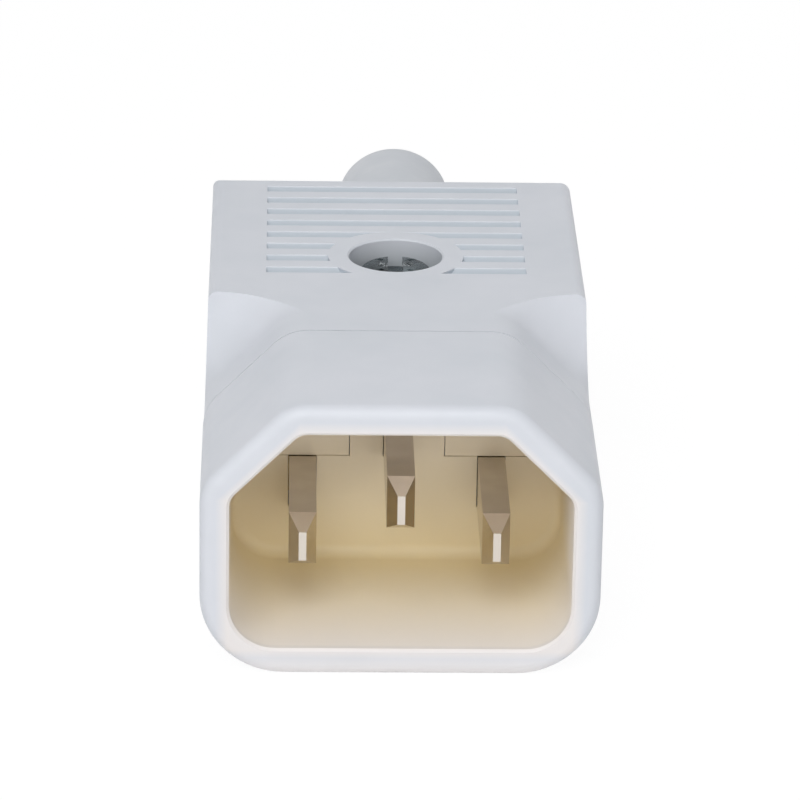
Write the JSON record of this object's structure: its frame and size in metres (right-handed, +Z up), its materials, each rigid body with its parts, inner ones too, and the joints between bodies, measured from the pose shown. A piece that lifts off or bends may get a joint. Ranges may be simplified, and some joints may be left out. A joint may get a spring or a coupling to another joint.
{
  "type": "appliance plug",
  "caption": "White rewireable appliance plug: a keyed shroud round flat contact pins, a grooved grip with a screwed-on cover and a bend relief sleeve.",
  "frame": {"origin": "centre of the mouth on the mating face", "axes": "+Y from the mouth to the cable end, +Z up towards the keyed corners, +X to the right when looking into the mouth"},
  "size_m": [0.0286, 0.0729, 0.0208],
  "materials": {
    "white_plastic": "satin moulded",
    "white_rubber": "soft moulded",
    "clamp_plastic": "moulded",
    "nickel_plate": "nickel plated",
    "zinc_plate": "zinc plated",
    "brass": "machined"
  },
  "bodies": {
    "root": {"shroud": "white_plastic", "lower_shell": "white_plastic", "cover": "white_plastic", "boot": "white_rubber", "line_pin": "nickel_plate", "neutral_pin": "nickel_plate", "earth_pin": "nickel_plate", "line_terminal": "brass", "neutral_terminal": "brass", "earth_terminal": "brass", "line_terminal_screw": "zinc_plate", "neutral_terminal_screw": "zinc_plate", "earth_terminal_screw": "zinc_plate", "cord_clamp": "clamp_plastic", "clamp_screw_left": "zinc_plate", "clamp_screw_right": "zinc_plate", "housing_screw": "zinc_plate", "housing_nut": "zinc_plate"}
  },
  "joints": []
}
